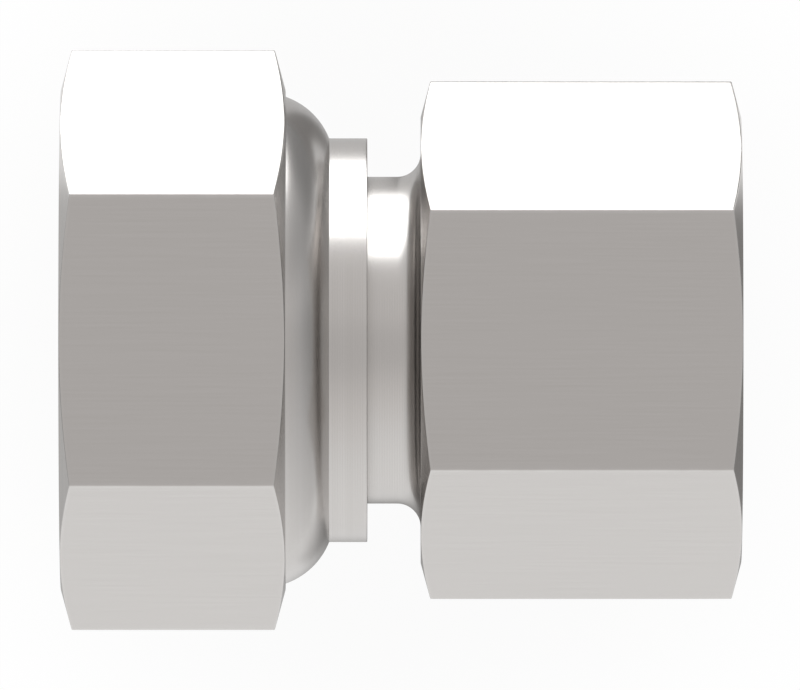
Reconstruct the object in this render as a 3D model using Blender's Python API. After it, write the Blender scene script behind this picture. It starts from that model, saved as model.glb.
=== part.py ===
"""Straight pipe adapter: a turned hexagon body with a female pipe port, and a swivel nut crimped on its tail.

The common centre line runs along X. The nut is at the -X end and the port opens at the +X end.
Both hexagons have a flat facing up and a flat facing down. The world origin is on the centre line, at mid-length.

Both pieces are turned from hexagon bar, so each one is the part of the bar that lies inside its turned form.
Lengths are given from the seat: the plane that holds the centre of the curve over which the nut's skirt is rolled.
"""

import math

import bmesh
import bpy
from mathutils import Matrix, Vector

MM = 0.001

# Thread of the nut: 3/4 inch parallel pipe thread, 14 to the inch
NUT_THREAD_MAJOR = 26.441 * MM
NUT_THREAD_PITCH = 1.814 * MM
THREAD_DEPTH_PER_PITCH = 0.640327

# Swivel nut: walls, lengths and the crimped skirt
THREAD_RELIEF = 0.43 * MM  # from the thread's roots out to the wall of the counterbore
SKIRT_WALL = 2.1 * MM
HEX_STEP = 0.25 * MM  # from the skirt's largest radius out to the flats
NUT_HEX_LENGTH = 14.3 * MM
SKIRT_LENGTH = 5.2 * MM  # from the hexagon's rear face to the end of the collar
ROLL_RADIUS = 2.5 * MM  # inside radius of the rolled skirt
ROLL_INSET = 1.5 * MM  # how far inside the hexagon's rear face the roll begins
MOUTH_CLEARANCE = 0.23 * MM  # radius of the mouth over the thread's roots

# Adapter body: neck, head and the cone that seals in the mating fitting
SHOULDER_HEIGHT = 2.9 * MM  # from the neck out to the head
NECK_GAP = 3.4 * MM  # neck left in view between the collar and the body's hexagon
NECK_FILLET = 1.5 * MM
HEAD_LAND = 2.3 * MM
NOSE_LAND = 0.8 * MM
NOSE_FILLET = 0.5 * MM
NOSE_HALF_ANGLE = math.radians(30)
TIP_WALL = 1.6 * MM
BORE_DIAMETER = 12.7 * MM

# Adapter body: hexagon and the 1/2 inch taper pipe port
PORT_DRILL_DIAMETER = 18.26 * MM
PORT_DEPTH = 18.0 * MM
COUNTERSINK_WIDTH = 1.97 * MM
PORT_FACE_WIDTH = 3.1875 * MM  # from the countersink's edge out to the flats
BODY_HEX_LENGTH = 20.4 * MM
DRILL_POINT_HALF_ANGLE = math.radians(59)

# Shared by both pieces
SWIVEL_CLEARANCE = 0.35 * MM
NOSE_CLEARANCE = 0.45 * MM  # between the nose and the crests of the nut's thread
END_FLOAT = 1.0 * MM  # between the head and the end of the nut's thread
EDGE_BREAK = 0.3 * MM
HEX_CHAMFER_ANGLE = math.radians(15)  # from the end face
FACE_CIRCLE_INSET = 0.1 * MM  # the end face's circle stops this far inside the flats
TURNING_ALLOWANCE = 0.5 * MM  # the turned form runs this far past the hexagon's corners
BAR_OVERRUN = 2.0 * MM

# Fineness of the surfaces
TURN_STEPS = 72
ARC_STEPS = 8
NOSE_FILLET_STEPS = 4
SHARP_ANGLE = math.radians(13)
SAME_POINT = 1e-7

# Radii that follow from the sizes above
NUT_MINOR_R = NUT_THREAD_MAJOR / 2 - THREAD_DEPTH_PER_PITCH * NUT_THREAD_PITCH
COUNTERBORE_R = NUT_THREAD_MAJOR / 2 + THREAD_RELIEF
NUT_FLAT_R = COUNTERBORE_R + SKIRT_WALL + HEX_STEP
HEAD_R = COUNTERBORE_R - SWIVEL_CLEARANCE
NECK_R = HEAD_R - SHOULDER_HEIGHT
COLLAR_BORE_R = NECK_R + SWIVEL_CLEARANCE
COLLAR_R = COLLAR_BORE_R + SKIRT_WALL
ROLL_CENTRE_R = COUNTERBORE_R - ROLL_RADIUS
NOSE_R = NUT_MINOR_R - NOSE_CLEARANCE
BORE_R = BORE_DIAMETER / 2
PORT_R = PORT_DRILL_DIAMETER / 2
PORT_MOUTH_R = PORT_R + COUNTERSINK_WIDTH
BODY_FLAT_R = PORT_MOUTH_R + PORT_FACE_WIDTH

# Stations along the centre line, from the seat
NUT_REAR_X = ROLL_INSET
NUT_FRONT_X = NUT_REAR_X - NUT_HEX_LENGTH
COLLAR_END_X = NUT_REAR_X + SKIRT_LENGTH
HEAD_FRONT_X = -HEAD_LAND
COUNTERBORE_START_X = HEAD_FRONT_X - END_FLOAT
BODY_HEX_START_X = COLLAR_END_X + NECK_GAP
PORT_FACE_X = BODY_HEX_START_X + BODY_HEX_LENGTH
OVERALL_LENGTH = PORT_FACE_X - NUT_FRONT_X

# Place of the seat, which puts the world origin at mid-length
SEAT_X = -OVERALL_LENGTH / 2 - NUT_FRONT_X


def arc(centre_x, centre_r, radius, start, stop, steps=ARC_STEPS):
    """Points of an arc. An angle of 0 points straight out from the centre line, and 90 degrees along +X."""
    angles = [start + (stop - start) * step / steps for step in range(steps + 1)]
    return [(centre_x + radius * math.sin(a), centre_r + radius * math.cos(a)) for a in angles]


def roll_end_angle(radius, lowest_r):
    """The angle at which an arc about the roll's centre has come down to lowest_r, or a quarter turn."""
    return math.acos(max(0.0, (lowest_r - ROLL_CENTRE_R) / radius))


def corner_radius(flat_r):
    """Centre to corner of a hexagon, from centre to flat."""
    return flat_r / math.cos(math.pi / 6)


def chamfered_hexagon(flat_r, start_x, stop_x):
    """The turned form over a hexagon: both end faces are circles, and cones run out past the corners."""
    face_r = flat_r - FACE_CIRCLE_INSET
    blank_r = corner_radius(flat_r) + TURNING_ALLOWANCE
    depth = (blank_r - face_r) * math.tan(HEX_CHAMFER_ANGLE)
    return [(start_x, face_r), (start_x + depth, blank_r), (stop_x - depth, blank_r), (stop_x, face_r)]


def nut_outline():
    """Section of the nut: hexagon, crimped dome and collar outside, then the curve over the head and the thread."""
    dome_radius = ROLL_RADIUS + SKIRT_WALL
    dome_start = math.asin(ROLL_INSET / dome_radius)
    dome_stop = math.acos((COLLAR_R - ROLL_CENTRE_R) / dome_radius)
    mouth_r = NUT_THREAD_MAJOR / 2 + MOUTH_CLEARANCE
    roll_stop = roll_end_angle(ROLL_RADIUS, COLLAR_BORE_R)
    inner_roll = arc(0, ROLL_CENTRE_R, ROLL_RADIUS, roll_stop, 0)
    return [
        (NUT_FRONT_X, mouth_r),
        *chamfered_hexagon(NUT_FLAT_R, NUT_FRONT_X, NUT_REAR_X),
        *arc(0, ROLL_CENTRE_R, dome_radius, dome_start, dome_stop),
        (COLLAR_END_X, COLLAR_R),
        (COLLAR_END_X, COLLAR_BORE_R),
        (inner_roll[0][0], COLLAR_BORE_R),
        *inner_roll,
        (COUNTERBORE_START_X, COUNTERBORE_R),
        (COUNTERBORE_START_X, NUT_MINOR_R),
        (NUT_FRONT_X + mouth_r - NUT_MINOR_R, NUT_MINOR_R),
    ]


def body_outline():
    """Section of the body, from the tip of its nose along the outside to the port, and back through the bore."""
    tip_r = BORE_R + TIP_WALL
    cone_stop_x = HEAD_FRONT_X - NOSE_LAND
    tip_x = cone_stop_x - (NOSE_R - tip_r) / math.tan(NOSE_HALF_ANGLE)
    nose_fillet = min(NOSE_FILLET, NOSE_LAND)
    nose_root = arc(
        HEAD_FRONT_X - nose_fillet,
        NOSE_R + nose_fillet,
        nose_fillet,
        math.pi,
        math.pi / 2,
        NOSE_FILLET_STEPS,
    )
    shoulder_radius = ROLL_RADIUS - SWIVEL_CLEARANCE
    shoulder = arc(0, ROLL_CENTRE_R, shoulder_radius, 0, roll_end_angle(shoulder_radius, NECK_R))
    ledge = BODY_FLAT_R - FACE_CIRCLE_INSET - NECK_R
    neck_fillet = min(NECK_FILLET, NECK_GAP, ledge - FACE_CIRCLE_INSET)
    neck_root = arc(BODY_HEX_START_X - neck_fillet, NECK_R + neck_fillet, neck_fillet, math.pi, math.pi / 2)
    port_bottom_x = PORT_FACE_X - PORT_DEPTH
    point_length = (PORT_R - BORE_R) / math.tan(DRILL_POINT_HALF_ANGLE)
    return [
        (tip_x + EDGE_BREAK, BORE_R),
        (tip_x, BORE_R + EDGE_BREAK),
        (tip_x, tip_r),
        (cone_stop_x, NOSE_R),
        *nose_root,
        (HEAD_FRONT_X, HEAD_R - EDGE_BREAK),
        (HEAD_FRONT_X + EDGE_BREAK, HEAD_R),
        *shoulder,
        (shoulder[-1][0], NECK_R),
        *neck_root,
        *chamfered_hexagon(BODY_FLAT_R, BODY_HEX_START_X, PORT_FACE_X),
        (PORT_FACE_X, PORT_MOUTH_R),
        (PORT_FACE_X - COUNTERSINK_WIDTH, PORT_R),
        (port_bottom_x, PORT_R),
        (port_bottom_x - point_length, BORE_R),
    ]


def without_repeats(outline):
    """The outline without points that lie on the one before them."""
    kept = []
    for point in outline:
        if not kept or math.dist(point, kept[-1]) > SAME_POINT:
            kept.append(point)
    return kept


def turned(name, outline, material):
    """An object made by turning a closed outline of (x, radius) points about the X axis."""
    mesh = bpy.data.meshes.new(name)
    work = bmesh.new()
    half_step = Matrix.Rotation(math.pi / TURN_STEPS, 3, "X")
    verts = [work.verts.new(half_step @ Vector((x, 0, r))) for x, r in without_repeats(outline)]
    edges = [work.edges.new((verts[i - 1], verts[i])) for i in range(len(verts))]
    bmesh.ops.spin(
        work,
        geom=verts + edges,
        cent=(0, 0, 0),
        axis=(1, 0, 0),
        angle=math.tau,
        steps=TURN_STEPS,
        use_merge=True,
    )
    bmesh.ops.recalc_face_normals(work, faces=work.faces)
    work.to_mesh(mesh)
    work.free()
    mesh.materials.append(material)
    piece = bpy.data.objects.new(name, mesh)
    bpy.context.collection.objects.link(piece)
    return piece


def hexagon_bar(name, flat_r, start_x, stop_x):
    """A length of hexagon bar along X, with one flat facing up."""
    mesh = bpy.data.meshes.new(name)
    work = bmesh.new()
    lie_down = Matrix.Rotation(math.pi / 2, 4, "Y")
    to_place = Matrix.Translation(((start_x + stop_x) / 2, 0, 0))
    bmesh.ops.create_cone(
        work,
        cap_ends=True,
        segments=6,
        radius1=corner_radius(flat_r),
        radius2=corner_radius(flat_r),
        depth=stop_x - start_x + 2 * BAR_OVERRUN,
        matrix=to_place @ lie_down,
    )
    bmesh.ops.recalc_face_normals(work, faces=work.faces)
    work.to_mesh(mesh)
    work.free()
    bar = bpy.data.objects.new(name, mesh)
    bar.hide_render = True
    bar.display_type = "WIRE"
    bpy.context.collection.objects.link(bar)
    return bar


def keep_inside(piece, bar):
    """Leaves only what lies in the bar, then shades the turned surfaces smooth up to their edges."""
    milling = piece.modifiers.new("hexagon", "BOOLEAN")
    milling.operation = "INTERSECT"
    milling.solver = "EXACT"
    milling.object = bar
    result = bpy.data.meshes.new_from_object(piece.evaluated_get(bpy.context.evaluated_depsgraph_get()))
    piece.modifiers.clear()
    piece.data = result
    result.name = piece.name
    bpy.data.objects.remove(bar)
    result.shade_smooth()
    result.set_sharp_from_angle(angle=SHARP_ANGLE)


def steel(name, colour, roughness):
    """A Principled BSDF for bright steel."""
    material = bpy.data.materials.new(name)
    material.use_nodes = True
    shader = material.node_tree.nodes["Principled BSDF"]
    shader.inputs["Base Color"].default_value = (*colour, 1.0)
    shader.inputs["Metallic"].default_value = 1.0
    shader.inputs["Roughness"].default_value = roughness
    return material


def seat_on_axis():
    """An empty on the centre line at the seat, about which the nut turns."""
    axis = bpy.data.objects.new("swivel_axis", None)
    axis.location = (SEAT_X, 0, 0)
    bpy.context.collection.objects.link(axis)
    return axis


def main():
    for old in list(bpy.data.objects):
        bpy.data.objects.remove(old)

    nut = turned("swivel_nut", nut_outline(), steel("nut_steel", (0.66, 0.645, 0.63), 0.3))
    keep_inside(nut, hexagon_bar("nut_bar", NUT_FLAT_R, NUT_FRONT_X, COLLAR_END_X))

    body = turned("adapter_body", body_outline(), steel("body_steel", (0.65, 0.635, 0.62), 0.3))
    keep_inside(body, hexagon_bar("body_bar", BODY_FLAT_R, NUT_FRONT_X, PORT_FACE_X))

    axis = seat_on_axis()
    body.parent = axis
    nut.parent = axis


main()
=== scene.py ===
"""The looks of a straight adapter: a hexagon body with a pipe port, and a swivel nut crimped on its tail.

Both pieces are turned from bright-drawn stainless hexagon bar. Each one is built here as a fine mesh with
rounded edges and real screw threads, and takes the place of its plainer solid. The centre line runs along X.

Sizes are in millimetres, unless a name ends in _m. A mesh is turned to metres as it is made.
"""

import logging
import math
from collections.abc import Sequence
from dataclasses import KW_ONLY, dataclass, field
from enum import Enum

import bmesh
import bpy
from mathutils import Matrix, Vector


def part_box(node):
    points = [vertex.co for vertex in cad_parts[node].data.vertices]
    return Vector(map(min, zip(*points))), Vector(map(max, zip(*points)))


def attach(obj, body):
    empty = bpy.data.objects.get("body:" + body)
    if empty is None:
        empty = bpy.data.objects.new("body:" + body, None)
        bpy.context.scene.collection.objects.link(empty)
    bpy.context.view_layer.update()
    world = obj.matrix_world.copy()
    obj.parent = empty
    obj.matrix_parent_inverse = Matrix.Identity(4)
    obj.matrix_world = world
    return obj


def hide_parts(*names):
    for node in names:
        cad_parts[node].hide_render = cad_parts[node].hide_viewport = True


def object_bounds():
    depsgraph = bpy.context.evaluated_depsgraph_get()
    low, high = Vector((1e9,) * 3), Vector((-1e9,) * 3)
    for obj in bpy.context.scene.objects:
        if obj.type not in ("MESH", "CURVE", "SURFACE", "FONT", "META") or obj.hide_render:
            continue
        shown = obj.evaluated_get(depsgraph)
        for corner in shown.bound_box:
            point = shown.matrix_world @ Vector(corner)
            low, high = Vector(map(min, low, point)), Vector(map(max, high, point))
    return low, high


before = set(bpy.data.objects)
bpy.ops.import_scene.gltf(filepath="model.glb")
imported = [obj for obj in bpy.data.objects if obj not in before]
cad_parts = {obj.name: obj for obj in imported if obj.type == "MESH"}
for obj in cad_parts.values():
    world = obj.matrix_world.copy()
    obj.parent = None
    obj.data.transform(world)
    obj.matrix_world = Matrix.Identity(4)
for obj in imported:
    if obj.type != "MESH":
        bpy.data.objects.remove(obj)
CAD_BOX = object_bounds()

MM = 0.001
MICRON = 1e-6
FULL_TURN = math.tau
QUARTER_TURN = math.tau / 4
SIXTH_TURN = math.tau / 6
WHITE = "#FFFFFF"

# Names of the two values that every mesh carries for its finishes
LATHE_RUN = "lathe_run"
EDGE_WEAR = "edge_wear"

log = logging.getLogger("adapter")

Tree = bpy.types.NodeTree
Node = bpy.types.Node
Socket = bpy.types.NodeSocket
Input = Node | Socket | float | tuple[float, ...]
Pair = tuple[float, float]
Section = list["Point"]


class Finish(Enum):
    """How a surface of the adapter was made."""

    DRAWN = "drawn through a hexagon die"
    TURNED = "turned on a lathe"
    ROLLED = "rolled over the head"
    TAPPED = "cut by a tap"


@dataclass(frozen=True)
class Corner:
    """A corner or a curve's point in a section.

    Attributes:
        x: Place along the centre line.
        r: Distance from the centre line.
        finish: Finish of the surface that leads on from here.
        edge: How far the rounded edge reaches along both sides, 0 on a curve.
        worn: Whether hands and tools polish the edge.
        advance: How that surface counts in the lathe's path: 1, 0 on the bar's flats, or -1 down a chamfer.
    """

    x: float
    r: float
    finish: Finish = Finish.TURNED
    edge: float = 0.0
    worn: bool = False
    advance: int = 1


@dataclass(frozen=True)
class Point:
    """A point of the finished section.

    Attributes:
        x: Place along the centre line.
        r: Distance from the centre line.
        run: Length of the lathe's path up to here.
        wear: Polish by hands and tools, 0 to 1.
        finish: Finish of the surface that leads on from here.
    """

    x: float
    r: float
    run: float
    wear: float
    finish: Finish


@dataclass(frozen=True)
class EdgeRounding:
    """The shape that every rounded edge gets.

    Attributes:
        steps: Faces over the rounding.
        leg_share: Largest share of a side that a rounding may take.
        support_reach: Extra ring beside the rounding, in reaches, which keeps the side flat to the eye.
        support_share: Largest share of a side that the extra ring may stand off.
        end_wear: Wear where the rounding meets its sides.
    """

    steps: int = 4
    leg_share: float = 0.4
    support_reach: float = 3.0
    support_share: float = 0.47
    end_wear: float = 0.35

    def points(self, before: Corner, corner: Corner, after: Corner, run: float) -> Section:
        """Rounds one corner.

        Args:
            before: The corner before it.
            corner: The corner to round.
            after: The corner after it.
            run: The lathe's path at the corner.

        Returns:
            The points from one extra ring over the rounding to the other extra ring.
        """
        legs = [math.hypot(end.x - corner.x, end.r - corner.r) for end in (before, after)]
        reach = min(corner.edge, self.leg_share * min(legs))

        def along(end: Corner, leg: float, distance: float) -> Pair:
            """The place at a distance from the corner towards one end."""
            share = distance / leg
            return corner.x + (end.x - corner.x) * share, corner.r + (end.r - corner.r) * share

        first, last = along(before, legs[0], reach), along(after, legs[1], reach)
        apart = [min(self.support_reach * reach, self.support_share * leg) for leg in legs]
        entry, way_out = along(before, legs[0], apart[0]), along(after, legs[1], apart[1])
        made = [Point(*entry, run - before.advance * apart[0], 0.0, before.finish)]
        for step in range(self.steps + 1):
            share = step / self.steps
            x, r = (
                a * (1 - share) ** 2 + 2 * c * share * (1 - share) + b * share**2
                for a, c, b in zip(first, (corner.x, corner.r), last)
            )
            wear = self.end_wear + (1 - self.end_wear) * 4 * share * (1 - share)
            path = run + reach * (share * corner.advance - (1 - share) * before.advance)
            finish = before.finish if step < self.steps / 2 else corner.finish
            made.append(Point(x, r, path, wear * corner.worn, finish))
        made.append(Point(*way_out, run + corner.advance * apart[1], 0.0, corner.finish))
        return made


def softened(corners: Sequence[Corner], start_run: float = 0.0) -> Section:
    """Rounds the edges of an open section.

    Args:
        corners: The section's corners. The first and the last one stay as they are.
        start_run: The lathe's path at the first corner.

    Returns:
        The points of the section.
    """
    rounding = EdgeRounding()
    first = corners[0]
    made = [Point(first.x, first.r, start_run, 0.0, first.finish)]
    run = start_run
    for before, corner, after in zip(corners, corners[1:], corners[2:]):
        run += before.advance * math.hypot(corner.x - before.x, corner.r - before.r)
        if corner.edge:
            made += rounding.points(before, corner, after, run)
        else:
            made.append(Point(corner.x, corner.r, run, 0.0, corner.finish))
    before, last = corners[-2:]
    run += before.advance * math.hypot(last.x - before.x, last.r - before.r)
    made.append(Point(last.x, last.r, run, 0.0, last.finish))
    return made


def curve(
    centre: Pair, radius: float, start: float, stop: float, steps: int, finish: Finish = Finish.TURNED
) -> list[Corner]:
    """Points of a round stretch of a section.

    Args:
        centre: Place along the centre line and radius of the curve's own centre.
        radius: Radius of the curve.
        start: First angle, where 0 points straight out and a quarter turn points along +X.
        stop: Last angle.
        steps: Faces over the curve.
        finish: Finish of the curve.

    Returns:
        The points, both ends included.
    """
    x, r = centre
    angles = [start + (stop - start) * step / steps for step in range(steps + 1)]
    return [Corner(x + radius * math.sin(angle), r + radius * math.cos(angle), finish) for angle in angles]


@dataclass(frozen=True)
class HexagonBar:
    """Hexagon bar along X with a flat facing up, whose ends are chamfered on the lathe.

    Attributes:
        flat_r: Centre to flat.
        corner_rounding: Radius of the bar's long corners.
        face_inset: The end face's circle stops this far inside the flats.
        chamfer: Angle of the chamfers from the end faces.
        scallop_edge: Reach of the rounded edge between chamfer and flat.
        face_edge: Reach of the rounded edge between chamfer and end face.
        column_step: Angle between two columns of the mesh.
        corner_columns: Columns beside a long corner, as shares of the angle of its rounding.
        corner_wear_angle: Angle over which the polish of a long corner fades.
    """

    flat_r: float
    corner_rounding: float = 0.16
    face_inset: float = 0.1
    chamfer: float = math.radians(15)
    scallop_edge: float = 0.07
    face_edge: float = 0.05
    column_step: float = math.radians(2)
    corner_columns: tuple[float, ...] = (0.0, 0.5, 1.0, 3.0)
    corner_wear_angle: float = math.radians(0.9)

    @property
    def face_r(self) -> float:
        """Radius of the round end faces."""
        return self.flat_r - self.face_inset

    @property
    def rounding_centre_r(self) -> float:
        """Centre line to the centre of a long corner's rounding."""
        return (self.flat_r - self.corner_rounding) / math.cos(SIXTH_TURN / 2)

    @property
    def rounding_angle(self) -> float:
        """Angle from a corner to where its rounding meets the flat, seen from the centre line."""
        across = self.corner_rounding * math.sin(SIXTH_TURN / 2)
        out = self.rounding_centre_r + self.corner_rounding * math.cos(SIXTH_TURN / 2)
        return math.atan2(across, out)

    @staticmethod
    def from_corner(angle: float) -> float:
        """Angle to the nearest long corner."""
        return abs((angle + SIXTH_TURN / 2) % SIXTH_TURN - SIXTH_TURN / 2)

    def radius(self, angle: float) -> float:
        """Measures the bar as it is before turning.

        Args:
            angle: Angle from a corner.

        Returns:
            Centre line to the bar's surface.
        """
        from_corner = self.from_corner(angle)
        if from_corner >= self.rounding_angle:
            return self.flat_r / math.cos(SIXTH_TURN / 2 - from_corner)
        aside = self.rounding_centre_r * math.sin(from_corner)
        return self.rounding_centre_r * math.cos(from_corner) + math.sqrt(self.corner_rounding**2 - aside**2)

    def wear(self, angle: float) -> float:
        """Polish of the long corners at an angle."""
        return max(0.0, 1 - self.from_corner(angle) / self.corner_wear_angle)

    def columns(self) -> list[float]:
        """Places the columns of the mesh.

        Returns:
            Their angles over a full turn, closer together at the long corners.
        """
        close = [share * self.rounding_angle for share in self.corner_columns]
        even = [self.column_step * step for step in range(1, round(SIXTH_TURN / self.column_step))]
        sixth = [*close, *even, *(SIXTH_TURN - angle for angle in close[:0:-1])]
        return [side * SIXTH_TURN + angle for side in range(6) for angle in sixth] + [FULL_TURN]

    def section(self, angle: float, start_x: float, stop_x: float) -> list[Corner]:
        """Section of a chamfered length of bar.

        Args:
            angle: Angle from a corner.
            start_x: Place of the first end face.
            stop_x: Place of the second end face.

        Returns:
            The corners from one end face's circle to the other's.
        """
        surface_r = self.radius(angle)
        depth = math.copysign((surface_r - self.face_r) * math.tan(self.chamfer), stop_x - start_x)
        return [
            Corner(start_x, self.face_r, Finish.TURNED, self.face_edge, worn=True),
            Corner(start_x + depth, surface_r, Finish.DRAWN, self.scallop_edge, worn=True, advance=0),
            Corner(stop_x - depth, surface_r, Finish.TURNED, self.scallop_edge, worn=True, advance=-1),
            Corner(stop_x, self.face_r, Finish.TURNED, self.face_edge, worn=True),
        ]


@dataclass(frozen=True)
class ThreadForm:
    """The form of a pipe thread with 14 turns to the inch.

    Attributes:
        pitch: Distance from one turn to the next.
        flank: Angle of a flank from square to the centre line, half of the thread's angle.
        depth_share: Root to crest, for each unit of pitch.
        rounding_share: Radius of the rounded roots and crests, for each unit of pitch.
        taper: Radius that the thread loses for each unit of length.
    """

    pitch: float
    flank: float
    depth_share: float
    rounding_share: float
    taper: float = 0.0

    @property
    def depth(self) -> float:
        """Root to crest, without the drill's cut."""
        return self.depth_share * self.pitch

    @property
    def round_r(self) -> float:
        """Radius of the rounded roots and crests."""
        return self.rounding_share * self.pitch

    @property
    def arc_reach(self) -> float:
        """Half the width of a rounded root, up to where the flank begins."""
        return self.round_r * math.cos(self.flank)

    @property
    def arc_depth(self) -> float:
        """How far the flank's end stands in from a root."""
        return self.round_r * (1 - math.sin(self.flank))

    @property
    def root_flat(self) -> float:
        """Half the width of the flat strip in the middle of a root or a crest."""
        flank_width = (self.depth - 2 * self.arc_depth) * math.tan(self.flank)
        return max(0.0, self.pitch / 4 - self.arc_reach - flank_width / 2)

    def depth_at(self, offset: float) -> float:
        """How far the surface stands in from the roots.

        Args:
            offset: Distance along the centre line from the middle of a root, up to half a pitch.

        Returns:
            The distance, from 0 in a root to the full depth on a crest.
        """
        if offset > self.pitch / 4:
            return self.depth - self.depth_at(self.pitch / 2 - offset)
        on_arc = max(0.0, offset - self.root_flat)
        if on_arc < self.arc_reach:
            return self.round_r - math.sqrt(self.round_r**2 - on_arc**2)
        return self.arc_depth + (on_arc - self.arc_reach) / math.tan(self.flank)


@dataclass(frozen=True)
class ScrewThread:
    """A right-hand thread inside a bore, with a countersunk mouth at 45 degrees.

    Attributes:
        form: The thread's form.
        mouth_x: Place of the face that it opens in.
        inward: 1 where the thread goes in along +X, -1 where it goes in along -X.
        mouth_r: Radius of the countersink in the face.
        root_r: Centre line to the roots, at the mouth.
        drill_r: Radius of the bore before tapping.
        length: Length with full roots.
        runout: Length beyond the full roots over which the grooves fade out.
        arc_steps: Faces over half a root or crest.
        support_share: Extra rows in from a flank's ends, as a share of it. They keep it straight.
        spare_turns: Turns that the rows reach past both ends, because the lead carries them along.
    """

    form: ThreadForm
    mouth_x: float
    inward: int
    mouth_r: float
    root_r: float
    drill_r: float
    length: float
    runout: float = 0.0
    arc_steps: int = 2
    support_share: float = 0.1
    spare_turns: int = 2

    @property
    def end_x(self) -> float:
        """Place of the thread's inner end."""
        return self.mouth_x + self.inward * (self.length + self.runout)

    def lead(self, angle: float) -> float:
        """How far the thread has moved along X at an angle."""
        return self.form.pitch * angle / FULL_TURN

    def radius(self, x: float, angle: float) -> float:
        """Measures the threaded bore.

        Args:
            x: Place along the centre line.
            angle: Angle about the centre line.

        Returns:
            Centre line to the surface.
        """
        inside = (x - self.mouth_x) * self.inward
        root_r = self.root_r - self.form.taper * inside
        if self.runout:
            fade = max(0.0, inside - self.length) / self.runout
            root_r -= fade * (root_r - self.drill_r)
        turned_back = (x - self.lead(angle)) % self.form.pitch
        offset = min(turned_back, self.form.pitch - turned_back)
        return max(root_r - self.form.depth_at(offset), self.drill_r, self.mouth_r - inside)

    def stations(self) -> list[float]:
        """Places the rows of the mesh.

        Returns:
            Their places at angle 0, from the mouth inwards, and past both ends.
        """
        pitch, steps = self.form.pitch, range(self.arc_steps + 1)
        half = [self.form.root_flat + self.form.arc_reach * step / self.arc_steps for step in steps]
        half.append(half[-1] + self.support_share * (pitch / 2 - 2 * half[-1]))
        root = [-offset for offset in reversed(half)] + half
        one_turn = root + [pitch / 2 + offset for offset in root]
        low, high = sorted((self.mouth_x, self.end_x))
        first, last = math.floor(low / pitch) - self.spare_turns, math.ceil(high / pitch) + self.spare_turns
        places = [turn * pitch + offset for turn in range(first, last) for offset in one_turn]
        return places[:: self.inward]

    def section(self, angle: float, mouth_run: float, end_run: float) -> Section:
        """The threaded part of a section, from the mouth inwards.

        Args:
            angle: Angle about the centre line.
            mouth_run: The lathe's path at the mouth, where it ends.
            end_run: The lathe's path at the inner end, where it begins.

        Returns:
            The points. Rows that would be beyond an end lie on that end.
        """
        low, high = sorted((self.mouth_x, self.end_x))
        made = []
        for station in self.stations():
            x = min(max(station + self.lead(angle), low), high)
            share = (x - self.mouth_x) / (self.end_x - self.mouth_x)
            run = mouth_run + (end_run - mouth_run) * share
            made.append(Point(x, self.radius(x, angle), run, 0.0, Finish.TAPPED))
        return made


def add_node(
    tree: Tree, kind: str, *values: Input, inputs: dict[str, Input] | None = None, **settings: object
) -> Node:
    """Adds a node with its settings and links. A node as an input stands for its first output in use.

    Args:
        tree: The node tree.
        kind: The node's type, without the words ShaderNode.
        values: What the first inputs in use get, in order.
        inputs: What other inputs get, by name.
        settings: The node's own settings.

    Returns:
        The node.
    """
    node = tree.nodes.new(f"ShaderNode{kind}")
    for name, value in settings.items():
        setattr(node, name, value)
    filled = list(zip((socket for socket in node.inputs if socket.enabled), values))
    filled += [(node.inputs[name], value) for name, value in (inputs or {}).items()]
    for target, value in filled:
        if isinstance(value, Node):
            value = next(socket for socket in value.outputs if socket.enabled)
        if isinstance(value, Socket):
            tree.links.new(value, target)
        else:
            target.default_value = value
    return node


def point_in_mm(tree: Tree) -> Node:
    """The shaded point in the frame of its own piece, in millimetres."""
    point = add_node(tree, "TexCoord").outputs["Object"]
    return add_node(tree, "VectorMath", point, 1 / MM, operation="SCALE")


def empty_tree(owner: bpy.types.Material | bpy.types.World) -> Tree:
    """Clears the nodes of a new material or world.

    Args:
        owner: The material or world.

    Returns:
        Its empty node tree.
    """
    owner.use_nodes = True
    owner.node_tree.nodes.clear()
    return owner.node_tree


def put_in_scene(data: bpy.types.ID) -> bpy.types.Object:
    """Puts a mesh, a lamp or a camera in the scene.

    Args:
        data: The mesh, lamp or camera.

    Returns:
        The object that holds it, under the same name.
    """
    made = bpy.data.objects.new(data.name, data)
    bpy.context.scene.collection.objects.link(made)
    return made


def linear(colour: str) -> tuple[float, float, float, float]:
    """Turns an sRGB colour into a linear one.

    Args:
        colour: Hex colour, such as #D2CFCD.

    Returns:
        Linear red, green and blue, and an alpha of 1.
    """
    shares = [int(colour[start : start + 2], 16) / 255 for start in (1, 3, 5)]
    values = [share / 12.92 if share <= 0.04045 else ((share + 0.055) / 1.055) ** 2.4 for share in shares]
    return (*values, 1.0)


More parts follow.
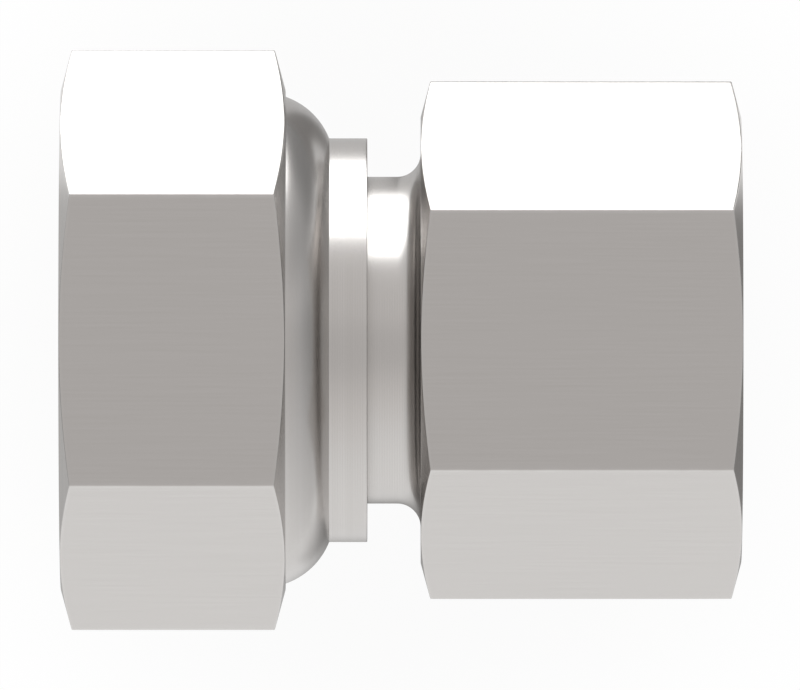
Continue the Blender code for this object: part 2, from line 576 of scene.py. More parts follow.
@dataclass(frozen=True)
class StainlessFinish:
    """Bright stainless steel. Each way of making its surface is a class of its own, with its own marks.

    Attributes:
        name: The material's name.
        colour: The steel.
        shaded_colour: The steel where the marks are deepest.
        worn_colour: The steel on a polished edge.
        roughness: Roughness of the surface.
        roughness_spread: How far the marks raise it.
        worn_roughness: Roughness of a polished edge.
        mark_depth: Depth of the marks, in microns.
        anisotropy: How much wider the gloss is across the marks.
        anisotropy_turn: Turn of the marks from a circle round the centre line, as a share of a full turn.
        wear_blotch: Size of the patches in which an edge is polished more or less.
    """

    name: str
    colour: str = "#D2CFCD"
    shaded_colour: str = "#CBC8C5"
    worn_colour: str = "#DAD8D6"
    roughness: float = 0.22
    roughness_spread: float = 0.05
    worn_roughness: float = 0.16
    mark_depth: float = 0.4
    anisotropy: float = 0.3
    anisotropy_turn: float = 0.0
    wear_blotch: float = 1.1

    def marks(self, tree: Tree, place: Node, run: Socket) -> Node:
        """The marks that the work left.

        Args:
            tree: The material's node tree.
            place: The point on the piece, in millimetres.
            run: The lathe's path, in millimetres.

        Returns:
            The surface's height, mostly from 0 to 1.
        """
        raise NotImplementedError

    def material(self) -> bpy.types.Material:
        """Builds the steel, with its marks in height, tone and gloss, and its polished edges.

        Returns:
            The material.
        """
        material = bpy.data.materials.new(self.name)
        tree = empty_tree(material)
        place = point_in_mm(tree)
        run = add_node(tree, "Attribute", attribute_name=LATHE_RUN).outputs["Fac"]
        edge = add_node(tree, "Attribute", attribute_name=EDGE_WEAR).outputs["Fac"]
        height = self.marks(tree, place, run)
        patches = {"Vector": place, "Scale": 1 / self.wear_blotch, "Detail": 3.0}
        blotches = add_node(tree, "TexNoise", inputs=patches)
        wear = add_node(tree, "Math", edge, blotches, operation="MULTIPLY", use_clamp=True)
        steel = add_node(
            tree, "Mix", height, linear(self.shaded_colour), linear(self.colour), data_type="RGBA"
        )
        colour = add_node(tree, "Mix", wear, steel, linear(self.worn_colour), data_type="RGBA")
        duller = self.roughness + self.roughness_spread
        gloss = add_node(tree, "MapRange", height, 0.0, 1.0, duller, self.roughness)
        bump = add_node(tree, "Bump", inputs={"Height": height, "Distance": self.mark_depth * MICRON})
        shader = add_node(
            tree,
            "BsdfPrincipled",
            inputs={
                "Base Color": colour,
                "Metallic": 1.0,
                "Roughness": add_node(tree, "Mix", wear, gloss, self.worn_roughness),
                "Anisotropic": self.anisotropy,
                "Anisotropic Rotation": self.anisotropy_turn,
                "Normal": bump,
                "Tangent": add_node(tree, "Tangent", direction_type="RADIAL", axis="X"),
            },
        )
        add_node(tree, "OutputMaterial", shader)
        return material


@dataclass(frozen=True)
class DrawnBar(StainlessFinish):
    """Stainless hexagon bar, bright drawn. The die leaves straight streaks: a soft grain along the flats.

    Real streaks are about 0.03 mm wide. They are drawn wider here, so that they show.

    Attributes:
        streak_width: Width of a streak.
        streak_length: Length of a streak.
    """

    streak_width: float = 0.11
    streak_length: float = 7.0

    def marks(self, tree: Tree, place: Node, run: Socket) -> Node:
        """Streaks along the bar.

        Args:
            tree: The material's node tree.
            place: The point on the piece, in millimetres.
            run: The lathe's path, which the streaks don't follow.

        Returns:
            The height of the streaks.
        """
        stretch = (1 / self.streak_length, 1 / self.streak_width, 1 / self.streak_width)
        stretched = add_node(tree, "VectorMath", place, stretch, operation="MULTIPLY")
        streaks = {"Vector": stretched, "Scale": 1.0, "Detail": 3.0, "Roughness": 0.6}
        return add_node(tree, "TexNoise", inputs=streaks)


@dataclass(frozen=True)
class TurnedSteel(StainlessFinish):
    """Stainless steel, fine turned. The tool's feed leaves rings, so the gloss spreads across them.

    Fine turning feeds about 0.08 mm a turn. The rings are drawn wider here, so that they show.

    Attributes:
        feed: Distance from ring to ring.
        band: Width of the bands in which the rings are deeper or shallower.
        ring_share: Height of the rings, as a share of their band's.
    """

    feed: float = 0.16
    band: float = 0.9
    ring_share: float = 0.4

    def marks(self, tree: Tree, place: Node, run: Socket) -> Node:
        """Rings, deeper and shallower in bands.

        Args:
            tree: The material's node tree.
            place: The point on the piece, which the rings don't need.
            run: The lathe's path, in millimetres, along which the rings follow each other.

        Returns:
            The height of the rings.
        """
        phase = add_node(tree, "Math", run, FULL_TURN / self.feed, operation="MULTIPLY")
        ring = add_node(tree, "Math", phase, operation="SINE")
        uneven = {"W": run, "Scale": 1 / self.band, "Detail": 4.0, "Roughness": 0.65}
        bands = add_node(tree, "TexNoise", inputs=uneven, noise_dimensions="1D")
        depth = add_node(tree, "Math", bands, self.ring_share, operation="MULTIPLY")
        return add_node(tree, "Math", ring, depth, bands, operation="MULTIPLY_ADD")


@dataclass(frozen=True)
class RolledSkirt(StainlessFinish):
    """Stainless steel, rolled over by a wheel, which presses the turning rings into wide, faint bands.

    Attributes:
        band: Width of the bands that the wheel leaves.
        ripple: Size of the faint ripple in the pressed skin.
        ripple_share: Share of the ripple in the height.
    """

    band: float = 0.7
    ripple: float = 0.5
    ripple_share: float = 0.3

    def marks(self, tree: Tree, place: Node, run: Socket) -> Node:
        """Wide bands with a faint ripple.

        Args:
            tree: The material's node tree.
            place: The point on the piece, in millimetres, for the ripple.
            run: The lathe's path, in millimetres, for the bands.

        Returns:
            The height of both together.
        """
        rolled = {"W": run, "Scale": 1 / self.band, "Detail": 2.0}
        bands = add_node(tree, "TexNoise", inputs=rolled, noise_dimensions="1D")
        skin = add_node(tree, "TexNoise", inputs={"Vector": place, "Scale": 1 / self.ripple, "Detail": 1.0})
        return add_node(tree, "Mix", self.ripple_share, bands, skin)


@dataclass(frozen=True)
class TappedThread(StainlessFinish):
    """Stainless steel, cut by a tap. The teeth leave lines along the grooves, so the flanks look duller.

    Attributes:
        line_width: Width of a line on a flank, drawn wider than the real 0.02 mm, so that it shows.
    """

    line_width: float = 0.07

    def marks(self, tree: Tree, place: Node, run: Socket) -> Node:
        """Lines that run round with the groove, each at one depth.

        Args:
            tree: The material's node tree.
            place: The point on the piece, in millimetres.
            run: The lathe's path, which the tap's lines don't follow.

        Returns:
            The height of the lines.
        """
        flattened = add_node(tree, "VectorMath", place, (0.0, 1.0, 1.0), operation="MULTIPLY")
        depth = add_node(tree, "VectorMath", flattened, operation="LENGTH")
        lines = {"W": depth, "Scale": 1 / self.line_width, "Detail": 2.0}
        return add_node(tree, "TexNoise", inputs=lines, noise_dimensions="1D")


@dataclass(frozen=True)
class Finishes:
    """The steel's finishes, one for each way of making a surface.

    Attributes:
        drawn: The bar's flats and long corners.
        turned: Chamfers, end faces, bores, nose, head, neck and collar.
        rolled: The nut's dome and the curve inside it.
        tapped: The two threads.
    """

    drawn: DrawnBar = DrawnBar("stainless_drawn_bar", roughness=0.23, anisotropy=0.2, anisotropy_turn=0.25)
    turned: TurnedSteel = TurnedSteel("stainless_fine_turned", mark_depth=0.5)
    rolled: RolledSkirt = RolledSkirt(
        "stainless_rolled_skirt", roughness=0.2, mark_depth=0.6, anisotropy=0.1
    )
    tapped: TappedThread = TappedThread("stainless_tapped_thread", roughness=0.3, shaded_colour="#BDBAB7")

    def materials(self) -> dict[Finish, bpy.types.Material]:
        """Builds every material, each under the finish that it shows."""
        return {
            Finish.DRAWN: self.drawn.material(),
            Finish.TURNED: self.turned.material(),
            Finish.ROLLED: self.rolled.material(),
            Finish.TAPPED: self.tapped.material(),
        }


@dataclass
class TurnedPiece:
    """A piece that is turned from hexagon bar.

    Attributes:
        name: Name of the finished piece.
        node: The solid that it stands for.
        body: The body that it moves with.
        slot: Name of a material slot. It is not used.
        bar: The bar that it is turned from.
        thread: The thread in its bore.
        edge: Reach of a rounded edge.
        fine_edge: Reach of a rounded edge on a bevel or in an inside corner.
        merge_distance_m: Points closer than this are one, in metres.
    """

    name: str
    node: str
    body: str
    slot: str
    bar: HexagonBar
    thread: ScrewThread = field(init=False)
    _: KW_ONLY
    edge: float = 0.06
    fine_edge: float = 0.04
    merge_distance_m: float = 0.5 * MICRON

    def corners(self, angle: float) -> list[Corner]:
        """The corners of the section at an angle, from the thread's inner end to its mouth."""
        raise NotImplementedError

    def section(self, angle: float) -> Section:
        """Rounds the edges of the section and cuts its thread.

        Args:
            angle: Angle from a corner of the bar.

        Returns:
            The closed section, whose last point is its first one again.
        """
        corners = self.corners(angle)
        made = softened(corners, start_run=corners[0].r - corners[1].r)
        return made + self.thread.section(angle, made[-1].run, made[0].run)

    def mesh(self, materials: dict[Finish, bpy.types.Material]) -> bpy.types.Mesh:
        """Makes the surface from its sections.

        Args:
            materials: The material of each finish.

        Returns:
            A closed mesh in metres.

        Raises:
            ValueError: If the surface isn't closed.
        """
        columns = [(angle, self.section(angle)) for angle in self.bar.columns()]
        rows = len(columns[0][1])
        mesh = bpy.data.meshes.new(self.name)
        corners, runs, wears = [], [], []
        for angle, section in columns:
            across, up = math.cos(angle), math.sin(angle)
            for point in section:
                corners.append((point.x * MM, point.r * across * MM, point.r * up * MM))
                runs.append(point.run)
                on_bar = abs(point.r - self.bar.radius(angle)) < self.bar.scallop_edge
                wears.append(max(point.wear, self.bar.wear(angle) if on_bar else 0.0))
        faces, indices = [], []
        used = list(dict.fromkeys(point.finish for point in columns[0][1]))
        for column in range(len(columns) - 1):
            for row in range(rows - 1):
                first = column * rows + row
                faces.append((first, first + 1, first + rows + 1, first + rows))
                indices.append(used.index(columns[column][1][row].finish))
        mesh.from_pydata(corners, [], faces)
        mesh.attributes.new(LATHE_RUN, "FLOAT", "POINT").data.foreach_set("value", runs)
        mesh.attributes.new(EDGE_WEAR, "FLOAT", "POINT").data.foreach_set("value", wears)
        mesh.polygons.foreach_set("material_index", indices)
        for finish in used:
            mesh.materials.append(materials[finish])
        work = bmesh.new()
        work.from_mesh(mesh)
        bmesh.ops.remove_doubles(work, verts=work.verts, dist=self.merge_distance_m)
        bmesh.ops.recalc_face_normals(work, faces=work.faces)
        open_edges = sum(not edge.is_manifold for edge in work.edges)
        work.to_mesh(mesh)
        work.free()
        if open_edges:
            raise ValueError(f"{self.name} has {open_edges} open edges")
        mesh.shade_smooth()
        return mesh

    def build(self, materials: dict[Finish, bpy.types.Material]) -> bpy.types.Object:
        """Builds the piece, dresses it and puts it on its body.

        Args:
            materials: The material of each finish.

        Returns:
            The finished piece.
        """
        piece = put_in_scene(self.mesh(materials))
        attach(piece, self.body)
        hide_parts(self.node)
        return piece


@dataclass
class SwivelNut(TurnedPiece):
    """The swivel nut: a hexagon with a parallel thread, and a skirt that is rolled over the body's head.

    Attributes:
        front_x: Place of the open front face.
        collar_end_x: Place of the collar's end.
        hex_length: Length of the hexagon.
        root_r: Centre line to the thread's roots, 3/4 inch parallel pipe thread.
        form: Form of that thread, whose flanks stand at 55 degrees to each other.
        thread_length: Front face to the counterbore.
        mouth_over_root: Radius of the mouth over the roots.
        wall: Wall of the skirt.
        bar_over_skirt: From the skirt's largest radius out to the flats.
        roll_r: Inside radius of the rolled skirt.
        roll_inset: How far inside the hexagon's rear face the roll begins.
        shoulder: From the collar's bore out to the counterbore.
        curve_steps: Faces over a rolled curve.
    """

    front_x: float
    collar_end_x: float
    hex_length: float = 14.3
    root_r: float = 26.441 / 2
    form: ThreadForm = ThreadForm(1.814, math.radians(27.5), depth_share=0.640327, rounding_share=0.137329)
    thread_length: float = 9.5
    mouth_over_root: float = 0.23
    wall: float = 2.1
    bar_over_skirt: float = 0.25
    roll_r: float = 2.5
    roll_inset: float = 1.5
    shoulder: float = 2.9
    curve_steps: int = 20

    def __post_init__(self) -> None:
        """Works out the skirt's radii, the seat of the roll and the thread."""
        self.rear_x = self.front_x + self.hex_length
        self.seat_x = self.rear_x - self.roll_inset
        self.skirt_bore_r = self.bar.flat_r - self.bar_over_skirt - self.wall
        self.roll_centre_r = self.skirt_bore_r - self.roll_r
        self.collar_bore_r = self.skirt_bore_r - self.shoulder
        self.crest_r = self.root_r - self.form.depth
        self.thread = ScrewThread(
            self.form,
            mouth_x=self.front_x,
            inward=1,
            mouth_r=self.root_r + self.mouth_over_root,
            root_r=self.root_r,
            drill_r=self.crest_r,
            length=self.thread_length,
        )

    def corners(self, angle: float) -> list[Corner]:
        """Lays out the nut's section.

        Args:
            angle: Angle from a corner of the bar.

        Returns:
            Counterbore, roll and collar, and then dome, hexagon and front face.
        """
        end_x, end_r = self.thread.end_x, self.thread.radius(self.thread.end_x, angle)
        centre = (self.seat_x, self.roll_centre_r)
        dome_r = self.roll_r + self.wall
        collar_r = self.collar_bore_r + self.wall
        dome_stop = math.acos((collar_r - self.roll_centre_r) / dome_r)
        dome_start = math.asin(self.roll_inset / dome_r)
        inner = curve(centre, self.roll_r, 0.0, QUARTER_TURN, self.curve_steps, Finish.ROLLED)
        dome = curve(centre, dome_r, dome_stop, dome_start, self.curve_steps, Finish.ROLLED)
        dome_end, dome_root = dome[0], dome[-1]
        return [
            Corner(end_x, end_r),
            Corner(end_x, self.skirt_bore_r, edge=self.fine_edge),
            *inner,
            Corner(inner[-1].x, self.collar_bore_r, edge=self.edge),
            Corner(self.collar_end_x, self.collar_bore_r, edge=self.edge, worn=True),
            Corner(self.collar_end_x, collar_r, edge=self.edge, worn=True),
            Corner(dome_end.x, dome_end.r, Finish.ROLLED, self.fine_edge),
            *dome[1:-1],
            Corner(dome_root.x, dome_root.r, edge=self.fine_edge),
            *self.bar.section(angle, self.rear_x, self.front_x),
            Corner(self.front_x, self.thread.mouth_r + self.edge),
            Corner(self.front_x, self.thread.mouth_r),
        ]


@dataclass
class AdapterBody(TurnedPiece):
    """The adapter's body: a cone nose and a head in the nut, a neck, and a hexagon with a taper pipe port.

    Attributes:
        nut: The nut that holds the head.
        tip_x: Place of the nose's tip.
        port_face_x: Place of the port's face.
        hex_length: Length of the hexagon.
        swivel_clearance: Gap between the head and the rolled skirt.
        nose_clearance: Gap between the nose and the crests of the nut's thread.
        head_land: Length of the head's straight part.
        nose_land: Length of the straight part before the cone.
        nose_fillet: Radius of the fillet between nose and head.
        nose_half_angle: Angle of the cone from the centre line.
        neck_fillet: Radius of the fillet between neck and hexagon.
        bore_r: Radius of the flow bore.
        inner_break: Bevel at the bore's tip and at the head's front.
        port_drill_r: Radius of the port before tapping.
        port_depth: Depth of the port.
        port_countersink: How much wider the port's mouth is than its drill, measured on the radius.
        drill_point: Half angle of the drill's point.
        port_root_r: Centre line to the roots of the 1/2 inch taper pipe thread, at the face.
        form: Form of that thread: its flanks stand at 60 degrees, and its diameter tapers by 1 in 16.
        full_thread: Length with full roots.
        thread_runout: Length over which the grooves fade out.
        curve_steps: Faces over a fillet.
    """

    nut: SwivelNut
    tip_x: float
    port_face_x: float
    hex_length: float = 20.4
    swivel_clearance: float = 0.35
    nose_clearance: float = 0.45
    head_land: float = 2.3
    nose_land: float = 0.8
    nose_fillet: float = 0.5
    nose_half_angle: float = math.radians(30)
    neck_fillet: float = 1.5
    bore_r: float = 6.35
    inner_break: float = 0.3
    port_drill_r: float = 9.13
    port_depth: float = 18.0
    port_countersink: float = 1.97
    drill_point: float = math.radians(59)
    port_root_r: float = 10.61
    form: ThreadForm = ThreadForm(
        1.8143, math.radians(30), depth_share=0.76, rounding_share=0.05, taper=1 / 32
    )
    full_thread: float = 10.5
    thread_runout: float = 3.1
    curve_steps: int = 16

    def __post_init__(self) -> None:
        """Works out the radii that fit the nut, and the port's thread."""
        self.head_r = self.nut.skirt_bore_r - self.swivel_clearance
        self.neck_r = self.nut.collar_bore_r - self.swivel_clearance
        self.nose_r = self.nut.crest_r - self.nose_clearance
        self.hex_start_x = self.port_face_x - self.hex_length
        self.thread = ScrewThread(
            self.form,
            mouth_x=self.port_face_x,
            inward=-1,
            mouth_r=self.port_drill_r + self.port_countersink,
            root_r=self.port_root_r,
            drill_r=self.port_drill_r,
            length=self.full_thread,
            runout=self.thread_runout,
        )

    def nose(self) -> list[Corner]:
        """Lays out the cone nose and the front of the head.

        Returns:
            The corners, from the bore's tip to the head's straight part.
        """
        head_front_x = self.nut.seat_x - self.head_land
        cone_stop_x = head_front_x - self.nose_land
        tip_r = self.nose_r - (cone_stop_x - self.tip_x) * math.tan(self.nose_half_angle)
        centre = (head_front_x - self.nose_fillet, self.nose_r + self.nose_fillet)
        foot = curve(centre, self.nose_fillet, 2 * QUARTER_TURN, QUARTER_TURN, self.curve_steps)
        return [
            Corner(self.tip_x + self.inner_break, self.bore_r, edge=self.fine_edge),
            Corner(self.tip_x, self.bore_r + self.inner_break, edge=self.fine_edge),
            Corner(self.tip_x, tip_r, edge=self.edge, worn=True),
            Corner(cone_stop_x, self.nose_r, edge=self.edge),
            *foot,
            Corner(head_front_x, self.head_r - self.inner_break, edge=self.fine_edge),
            Corner(head_front_x + self.inner_break, self.head_r, edge=self.fine_edge),
        ]

    def corners(self, angle: float) -> list[Corner]:
        """Lays out the body's section.

        Args:
            angle: Angle from a corner of the bar.

        Returns:
            Port, bore, nose and head, and then neck, hexagon and port face.
        """
        bottom_x = self.port_face_x - self.port_depth
        point_length = (self.port_drill_r - self.bore_r) / math.tan(self.drill_point)
        seat, shoulder_r = (self.nut.seat_x, self.nut.roll_centre_r), self.nut.roll_r - self.swivel_clearance
        shoulder = curve(seat, shoulder_r, 0.0, QUARTER_TURN, self.curve_steps)
        centre = (self.hex_start_x - self.neck_fillet, self.neck_r + self.neck_fillet)
        neck_root = curve(centre, self.neck_fillet, 2 * QUARTER_TURN, QUARTER_TURN, self.curve_steps)
        return [
            Corner(self.thread.end_x, self.port_drill_r),
            Corner(bottom_x, self.port_drill_r, edge=self.fine_edge),
            Corner(bottom_x - point_length, self.bore_r, edge=self.edge),
            *self.nose(),
            *shoulder,
            Corner(shoulder[-1].x, self.neck_r, edge=self.fine_edge),
            *neck_root,
            *self.bar.section(angle, self.hex_start_x, self.port_face_x),
            Corner(self.port_face_x, self.thread.mouth_r + self.edge),
            Corner(self.port_face_x, self.thread.mouth_r),
        ]


@dataclass(frozen=True)
class PhotoCamera:
    """The camera: straight above the adapter, far away, with a long lens, as flat as the photograph is.

    Attributes:
        photo_width: Width of the photograph in pixels.
        photo_height: Height of the photograph in pixels.
        left_px: Left end of the object in the photograph.
        right_px: Right end of the object.
        centre_line_px: Height of the centre line, counted from the top.
        lens_mm: Focal length.
        sensor_mm: Width of the sensor.
        true_scale_share: Height at which the scale is exact, as a share of the half height.
        reach_m: The farthest thing that the camera shows, in metres.
    """

    photo_width: float = 800.0
    photo_height: float = 690.0
    left_px: float = 59.6
    right_px: float = 742.45
    centre_line_px: float = 340.16
    lens_mm: float = 1400.0
    sensor_mm: float = 36.0
    true_scale_share: float = 0.5
    reach_m: float = 4.0

    def place(self, low: Sequence[float], high: Sequence[float]) -> bpy.types.Object:
        """Puts up the camera.

        Args:
            low: The object's lowest corner, in metres.
            high: The object's highest corner, in metres.

        Returns:
            The camera.
        """
        pixel_m = (high[0] - low[0]) / (self.right_px - self.left_px)
        distance = self.photo_width * pixel_m * self.lens_mm / self.sensor_mm
        camera = bpy.data.cameras.new("photo_camera")
        camera.lens = self.lens_mm
        camera.sensor_width = self.sensor_mm
        camera.clip_end = self.reach_m
        stand = put_in_scene(camera)
        stand.location = (
            (low[0] + high[0]) / 2 - ((self.left_px + self.right_px) / 2 - self.photo_width / 2) * pixel_m,
            (low[1] + high[1]) / 2 + (self.centre_line_px - self.photo_height / 2) * pixel_m,
            high[2] * self.true_scale_share + distance,
        )
        bpy.context.scene.camera = stand
        return stand


def share_where(tree: Tree, *rises: tuple[Input, Pair]) -> Node:
    """Says how far a place or a direction lies inside a soft-edged area.

    Args:
        tree: The node tree.
        rises: Each value that bounds the area, with where its share is 0 and where it is 1.

    Returns:
        The product of the shares.
    """
    product = None
    for value, (start, full) in rises:
        share = add_node(tree, "MapRange", value, start, full, interpolation_type="SMOOTHSTEP")
        product = share if product is None else add_node(tree, "Math", product, share, operation="MULTIPLY")
    return product


def white_share(tree: Tree, seen: Input, mirrored: Input) -> Node:
    """Says how much of a plain white background a ray meets.

    Args:
        tree: The node tree of the floor or the room.
        seen: Share for what the camera sees.
        mirrored: Share for what metal or glass shows.

    Returns:
        The share.
    """
    ray = add_node(tree, "LightPath").outputs
    by_metal = add_node(tree, "Math", ray["Is Glossy Ray"], ray["Is Transmission Ray"], operation="ADD")
    metal_part = add_node(tree, "Math", by_metal, mirrored, operation="MULTIPLY")
    return add_node(tree, "Math", ray["Is Camera Ray"], seen, metal_part, operation="MULTIPLY_ADD")


@dataclass(frozen=True)
class SoftRoom:
    """A plain room with soft light, brighter towards the near side (-Y) than towards the far side (+Y).

    Brightness is radiance, where 1 is white. A way is a direction's share of one axis, from -1 to 1. A pair
    of ways says where something begins and where it is full.

    Attributes:
        overhead: Colour of the light from above.
        around: Colour of the light from the sides.
        tint_ways: Upward ways between which the one turns into the other.
        overhead_light: Brightness straight above.
        near_gain: Added towards the near side and below it.
        near_slant: Downward share in the way along which the near side's light grows.
        near_ways: Ways along that slant.
        near_power: Below 1, it grows faster at first.
        side_loss: Share of that light that is lost towards both ends of the adapter.
        side_ways: Ways to the ends where it is lost.
        far_gain: Added a little way towards the far side.
        far_ways: Ways to the far side where it is added.
        right_loss: Taken away on the far side towards the right.
        right_far: Ways to the far side where it is taken away.
        right_ways: Ways to the right where it is taken away.
        end_loss: Taken away towards both ends of the adapter.
        end_power: How closely that keeps to the ends.
        under_light: Brightness below the horizon on the far side.
        under_ways: Upward ways where that begins and where nothing else is left.
        under_far: Ways to the far side between which it takes over from the near side's light.
        glow: Brightness of a band low on the far side, which shows to the left and right of the softbox.
        glow_rise: Ways to the far side on the band's near edge.
        glow_fall: Ways to the far side on its far edge.
        mirrored: Share of plain white that the metal sees in the room.
    """

    overhead: str = "#FFFCFA"
    around: str = WHITE
    tint_ways: Pair = (0.8, 0.3)
    overhead_light: float = 0.548
    near_gain: float = 0.415
    near_slant: float = 0.45
    near_ways: Pair = (-0.15, 1.1)
    near_power: float = 0.8
    side_loss: float = 0.55
    side_ways: Pair = (0.3, 0.85)
    far_gain: float = 0.1
    far_ways: Pair = (0.05, 0.3)
    right_loss: float = 0.25
    right_far: Pair = (0.18, 0.6)
    right_ways: Pair = (0.45, 0.75)
    end_loss: float = 0.33
    end_power: float = 8.0
    under_light: float = 0.15
    under_ways: Pair = (0.1, -0.3)
    under_far: Pair = (-0.35, 0.0)
    glow: float = 0.9
    glow_rise: Pair = (-0.02, 0.22)
    glow_fall: Pair = (0.54, 0.38)
    mirrored: float = 0.15

    def build(self) -> bpy.types.World:
        """Lights the room.

        Returns:
            The world around the adapter.
        """
        world = bpy.data.worlds.new("soft_room")
        tree = empty_tree(world)
        towards = add_node(tree, "TexCoord").outputs["Generated"]
        across, behind, up = add_node(tree, "SeparateXYZ", towards).outputs
        slant = (0.0, -1.0, -self.near_slant)
        near_way = add_node(tree, "VectorMath", towards, slant, operation="DOT_PRODUCT")
        growing = add_node(tree, "MapRange", near_way, *self.near_ways)
        near = add_node(tree, "Math", growing, self.near_power, operation="POWER")
        end_way = add_node(tree, "Math", across, operation="ABSOLUTE")
        beside = share_where(tree, (end_way, self.side_ways))
        gains = (
            (near, self.near_gain),
            (add_node(tree, "Math", near, beside, operation="MULTIPLY"), -self.near_gain * self.side_loss),
            (share_where(tree, (behind, self.far_ways)), self.far_gain),
            (share_where(tree, (behind, self.right_far), (across, self.right_ways)), -self.right_loss),
            (add_node(tree, "Math", end_way, self.end_power, operation="POWER"), -self.end_loss),
        )
        light: Input = self.overhead_light
        for share, gain in gains:
            light = add_node(tree, "Math", share, gain, light, operation="MULTIPLY_ADD")
        band = share_where(tree, (behind, self.glow_rise), (behind, self.glow_fall))
        rise = self.glow - self.under_light
        below = add_node(tree, "Math", band, rise, self.under_light, operation="MULTIPLY_ADD")
        under = share_where(tree, (up, self.under_ways), (behind, self.under_far))
        brightness = add_node(tree, "Mix", under, light, below)
        sideways = add_node(tree, "MapRange", up, *self.tint_ways)
        tint = add_node(tree, "Mix", sideways, linear(self.overhead), linear(self.around), data_type="RGBA")
        room = add_node(tree, "Background", tint, brightness)
        white = add_node(tree, "Background", linear(WHITE), 1.0)
        seen = add_node(tree, "MixShader", white_share(tree, 1.0, self.mirrored), room, white)
        add_node(tree, "OutputWorld", seen)
        bpy.context.scene.world = world
        return world


@dataclass(frozen=True)
class Softbox:
    """A large oval softbox behind the adapter. It reaches down past the floor's edge.

    Attributes:
        light: Its brightness, as radiance.
        distance: Softbox to the centre line.
        left: Angle from straight behind the adapter to the left, where its middle is.
        down: Angle from the horizon down to its middle.
        half_length: Angle from its middle to its far end.
        half_width: Angle from its middle to its side.
        tilt: How far its upper end leans to the right.
    """

    light: float = 2.4
    distance: float = 300.0
    left: float = math.radians(8)
    down: float = math.radians(6)
    half_length: float = math.radians(38)
    half_width: float = math.radians(28.5)
    tilt: float = math.radians(45)

    def hang(self) -> bpy.types.Object:
        """Hangs the softbox.

        Returns:
            The lamp, which the camera doesn't see.
        """
        angles = (self.left, self.down, self.half_length, self.half_width)
        left, down, half_length, half_width = (self.distance * math.tan(angle) * MM for angle in angles)
        lamp = bpy.data.lights.new("softbox", "AREA")
        lamp.shape = "ELLIPSE"
        lamp.size, lamp.size_y = 2 * half_length, 2 * half_width
        area = math.pi * half_length * half_width
        lamp.energy = self.light * math.pi * area
        softbox = put_in_scene(lamp)
        softbox.location = (-left, self.distance * MM, -down)
        softbox.rotation_euler = (-math.pi / 2, -self.tilt, 0.0)
        softbox.visible_camera = False
        return softbox


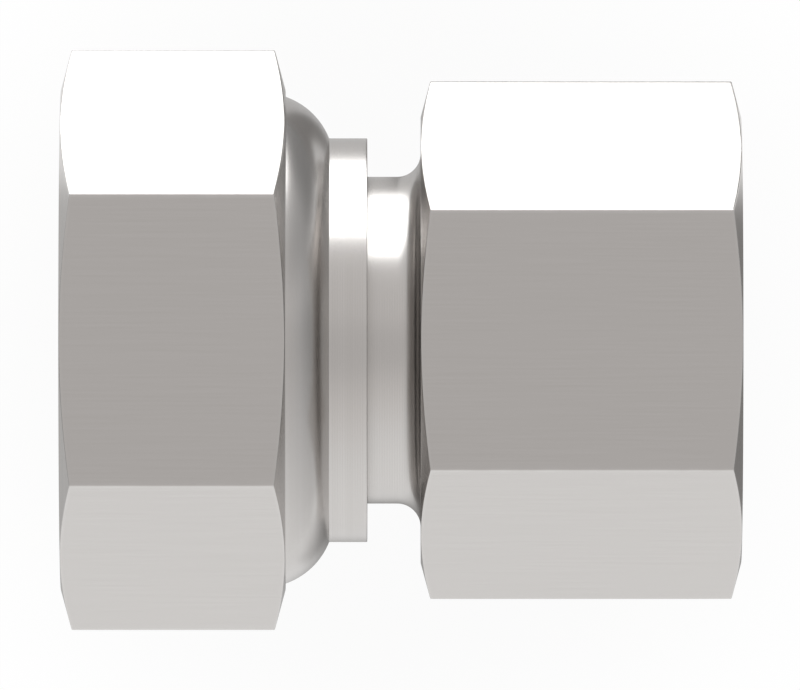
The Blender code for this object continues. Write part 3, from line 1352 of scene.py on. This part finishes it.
@dataclass(frozen=True)
class Floor:
    """A small oval floor of pale paper, which keeps the adapter's shadow.

    A share says how much plain white is seen instead of the paper. The camera sees an almost even white
    backdrop. The metal sees a painted reflection: patches of glowing white in front of, beside and behind
    the adapter, which paint highlights into the steel. A pair of places, along X or behind the centre line,
    says where something begins and where it is full.

    Attributes:
        colour: Colour of the paper.
        painted_shade_mirror_colour: Colour of the paper as the metal shows it: a darker copy of the paper,
            painted shade in the steel's reflections.
        gap: Floor under the adapter's lowest point.
        half_length: Middle of the oval to its ends, along X.
        half_width: Middle of the oval to its sides, along Y.
        sides: Sides of the oval.
        white_near: Share that the camera sees close to the adapter. It has risen to 1 at the half width.
        white_start: Distance from the middle where it begins to rise.
        mirrored: Painted reflection: share of glowing white that the metal sees, unless one of the next four
            is more.
        near_share: Share in front of the adapter.
        near_reach: Places behind the centre line, so negative ones, where that begins.
        near_lag: How much farther off it begins under the nut's dome, as a share.
        lag_rise: Places along X on the left edge of that stretch.
        lag_fall: Places along X on its right edge.
        left_share: Share past the nut's open end.
        left_reach: Places along X where that begins.
        far_share: Share behind the adapter.
        far_reach: Places behind the centre line where that begins.
        aside_share: Share behind the adapter, to the left and right.
        aside_reach: Distances to the side where the one turns into the other.
        strip_left: Places along X on the left edge of a dark strip behind the adapter, painted shade in the
            metal's reflections.
        strip_right: Places along X on its right edge.
        strip_lean: How far the right edge leans to the right, for each unit behind the centre line.
        stop_far: Places behind the centre line where the white stops on the right, which leaves painted
            shade there in the metal's reflections.
        stop_right: Places along X where it stops there.
    """

    colour: str = "#CAC9C8"
    painted_shade_mirror_colour: str = "#8A8886"
    gap: float = 0.01
    half_length: float = 52.0
    half_width: float = 38.0
    sides: int = 96
    white_near: float = 0.95
    white_start: float = 17.0
    mirrored: float = 0.1
    near_share: float = 0.92
    near_reach: Pair = (-8.0, -26.0)
    near_lag: float = 0.26
    lag_rise: Pair = (-1.0, 3.0)
    lag_fall: Pair = (24.0, 16.0)
    left_share: float = 0.47
    left_reach: Pair = (-18.0, -34.0)
    far_share: float = 0.5
    far_reach: Pair = (9.0, 13.5)
    aside_share: float = 0.95
    aside_reach: Pair = (5.0, 18.0)
    strip_left: Pair = (-1.5, 0.5)
    strip_right: Pair = (-1.0, -5.0)
    strip_lean: float = 0.45
    stop_far: Pair = (24.0, 31.0)
    stop_right: Pair = (0.0, 6.0)

    def painted_reflection_share(self, tree: Tree, place: Node) -> Node:
        """Maps the painted reflection: how much glowing plain white the metal sees in each place of the
        floor.

        Args:
            tree: The floor's node tree.
            place: The point on the floor, in millimetres.

        Returns:
            The share.
        """
        along, behind, _ = add_node(tree, "SeparateXYZ", place).outputs
        lagging = share_where(tree, (along, self.lag_rise), (along, self.lag_fall))
        slowed = add_node(tree, "Math", lagging, -self.near_lag, 1.0, operation="MULTIPLY_ADD")
        near_way = add_node(tree, "Math", behind, slowed, operation="MULTIPLY")
        # Painted shade: a dark strip behind the neck and a dark stretch behind the right end, where the
        # metal sees no glowing white.
        leaning = add_node(tree, "Math", behind, -self.strip_lean, along, operation="MULTIPLY_ADD")
        strip = share_where(tree, (along, self.strip_left), (leaning, self.strip_right))
        stopped = share_where(tree, (behind, self.stop_far), (along, self.stop_right))
        dark = add_node(tree, "Math", strip, stopped, operation="MAXIMUM")
        bright = add_node(tree, "Math", 1.0, dark, operation="SUBTRACT")
        beyond = share_where(tree, (behind, self.far_reach))
        far = add_node(tree, "Math", beyond, bright, operation="MULTIPLY")
        aside = share_where(tree, (add_node(tree, "Math", along, operation="ABSOLUTE"), self.aside_reach))
        more = self.aside_share - self.far_share
        far_share = add_node(tree, "Math", aside, more, self.far_share, operation="MULTIPLY_ADD")
        areas = (
            (share_where(tree, (near_way, self.near_reach)), self.near_share),
            (share_where(tree, (along, self.left_reach)), self.left_share),
            (far, far_share),
        )
        largest: Input = self.mirrored
        for area, share in areas:
            part = add_node(tree, "Math", area, share, operation="MULTIPLY")
            largest = add_node(tree, "Math", largest, part, operation="MAXIMUM")
        return largest

    def material(self) -> bpy.types.Material:
        """Builds the paper, with the plain white that the camera sees in it and the painted reflection that
        the metal sees in it.

        Returns:
            The material.
        """
        material = bpy.data.materials.new("pale_studio_paper")
        tree = empty_tree(material)
        place = point_in_mm(tree)
        distance = add_node(tree, "VectorMath", place, operation="LENGTH")
        rising = share_where(tree, (distance, (self.white_start, self.half_width)))
        rise = 1 - self.white_near
        shown = add_node(tree, "Math", rising, rise, self.white_near, operation="MULTIPLY_ADD")
        # Painted shade: what the metal mirrors of the paper is a darker copy of its colour, not the paper's
        # own tone.
        by_metal = add_node(tree, "LightPath").outputs["Is Glossy Ray"]
        tones = (linear(self.colour), linear(self.painted_shade_mirror_colour))
        paper = add_node(tree, "BsdfDiffuse", add_node(tree, "Mix", by_metal, *tones, data_type="RGBA"))
        white = add_node(tree, "Emission", linear(WHITE), 1.0)
        # Painted reflection: glossy rays meet glowing white patches on the floor, which paint highlights
        # into the steel.
        share = white_share(tree, shown, self.painted_reflection_share(tree, place))
        add_node(tree, "OutputMaterial", add_node(tree, "MixShader", share, paper, white))
        return material

    def lay(self, lowest_z: float) -> bpy.types.Object:
        """Lays the floor.

        Args:
            lowest_z: Height of the adapter's lowest point.

        Returns:
            The floor, which isn't part of the adapter.
        """
        length, width = self.half_length * MM, self.half_width * MM
        angles = [FULL_TURN * side / self.sides for side in range(self.sides)]
        mesh = bpy.data.meshes.new("studio_floor")
        rim = [(length * math.cos(angle), width * math.sin(angle), 0.0) for angle in angles]
        mesh.from_pydata(rim, [], [tuple(range(self.sides))])
        mesh.materials.append(self.material())
        floor = put_in_scene(mesh)
        floor.location.z = (lowest_z - self.gap) * MM
        return floor


def in_mm(corner: Sequence[float]) -> list[float]:
    """A point of the frame, in millimetres."""
    return [value / MM for value in corner]


def main() -> None:
    """Builds the nut, the body, the studio and the camera."""
    logging.basicConfig(level=logging.INFO, format="%(message)s")
    materials = Finishes().materials()
    nut_low, nut_high = (in_mm(corner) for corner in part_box("swivel_nut"))
    body_low, body_high = (in_mm(corner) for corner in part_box("adapter_body"))
    nut = SwivelNut(
        name="swivel_nut_finished",
        node="swivel_nut",
        body="nut",
        slot="nut_steel",
        bar=HexagonBar(nut_high[2]),
        front_x=nut_low[0],
        collar_end_x=nut_high[0],
    )
    body = AdapterBody(
        name="adapter_body_finished",
        node="adapter_body",
        body="adapter",
        slot="body_steel",
        bar=HexagonBar(body_high[2]),
        nut=nut,
        tip_x=body_low[0],
        port_face_x=body_high[0],
    )
    for part in (nut, body):
        piece = part.build(materials)
        log.info("%s: %d faces, on body %s", piece.name, len(piece.data.polygons), part.body)
    SoftRoom().build()
    Softbox().hang()
    Floor().lay(nut_low[2])
    bpy.context.scene.view_settings.view_transform = "Standard"
    camera = PhotoCamera().place(*CAD_BOX)
    log.info("%s: %.3f m above the centre line", camera.name, camera.location.z)


if __name__ == "__main__":
    main()
